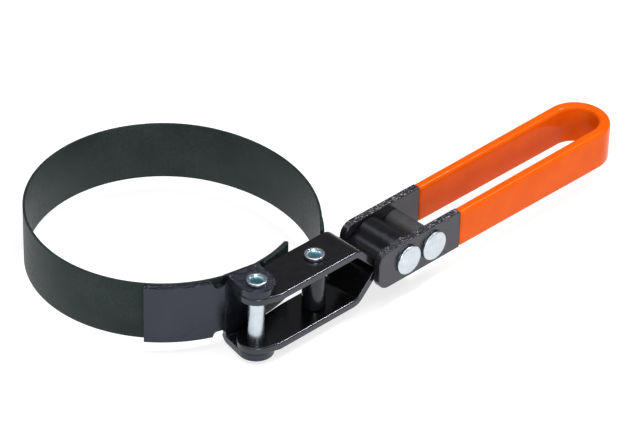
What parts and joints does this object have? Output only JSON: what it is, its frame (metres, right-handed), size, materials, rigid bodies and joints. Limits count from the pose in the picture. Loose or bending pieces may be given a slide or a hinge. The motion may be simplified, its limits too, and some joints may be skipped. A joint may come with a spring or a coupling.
{
  "type": "oil filter band wrench",
  "caption": "Swivel-handle band wrench for oil filters: a thin steel band clamped by a pivoting yoke, with a looped strip handle in a dipped grip.",
  "frame": {"origin": "centre of the band's round part, at half its width", "axes": "+Z along the band's axis, +X along the yoke and the handle towards the loop's end, +Y from the handle's line towards the band's centre"},
  "size_m": [0.201, 0.117, 0.0304],
  "materials": {
    "black_steel": "gloss",
    "handle_steel": "gloss",
    "band_steel": "matte",
    "zinc_steel": "bright",
    "grip_vinyl": "gloss"
  },
  "bodies": {
    "clamp": {"bracket": "black_steel", "bracket_pin": "zinc_steel", "band_span_1": "band_steel"},
    "band_2": {"band_span_2": "band_steel"},
    "band_3": {"band_span_3": "band_steel"},
    "band_4": {"band_span_4": "band_steel"},
    "band_5": {"band_span_5": "band_steel"},
    "band_end": {"band_span_6": "band_steel", "eye_clip": "black_steel"},
    "yoke": {"yoke": "black_steel", "band_pin": "zinc_steel"},
    "handle": {"handle_strip": "handle_steel", "handle_grip": "grip_vinyl", "swivel_rivet": "zinc_steel", "swivel_bush": "black_steel", "spacer_rivet": "zinc_steel", "spacer_sleeve": "handle_steel"}
  },
  "joints": [
    {"name": "yoke_pivot", "type": "hinge", "parent": "clamp", "child": "yoke", "pos_m": [-0.011, -0.0572, 0], "axis": [0, 0, 1], "range_deg": [-22, 1.5]},
    {"name": "handle_swivel", "type": "hinge", "parent": "yoke", "child": "handle", "pos_m": [0.048, -0.0572, 0], "axis": [0, 1, 0], "range_deg": [-90, 90]},
    {"name": "band_flex_1", "type": "hinge", "parent": "clamp", "child": "band_2", "pos_m": [-0.04496, 0.01205, 0], "axis": [0, 0, 1], "range_deg": [-6.35, 0.67]},
    {"name": "band_flex_2", "type": "hinge", "parent": "band_2", "child": "band_3", "pos_m": [-0.01592, 0.04374, 0], "axis": [0, 0, 1], "range_deg": [-2.37, 0.31]},
    {"name": "band_flex_3", "type": "hinge", "parent": "band_3", "child": "band_4", "pos_m": [0.0267, 0.03813, 0], "axis": [0, 0, 1], "range_deg": [-0.57, 5.27]},
    {"name": "band_flex_4", "type": "hinge", "parent": "band_4", "child": "band_5", "pos_m": [0.04727, 0.0007, 0], "axis": [0, 0, 1], "range_deg": [-0.29, 2.17]},
    {"name": "band_flex_5", "type": "hinge", "parent": "band_5", "child": "band_end", "pos_m": [0.03725, -0.03667, 0], "axis": [0, 0, 1], "range_deg": [-0.39, 0.13]}
  ],
  "couplings": [
    {"joint": "band_flex_1", "follows": "yoke_pivot", "ratio": 0.284},
    {"joint": "band_flex_2", "follows": "yoke_pivot", "ratio": 0.103},
    {"joint": "band_flex_3", "follows": "yoke_pivot", "ratio": -0.235},
    {"joint": "band_flex_4", "follows": "yoke_pivot", "ratio": -0.094},
    {"joint": "band_flex_5", "follows": "yoke_pivot", "ratio": 0.013}
  ]
}
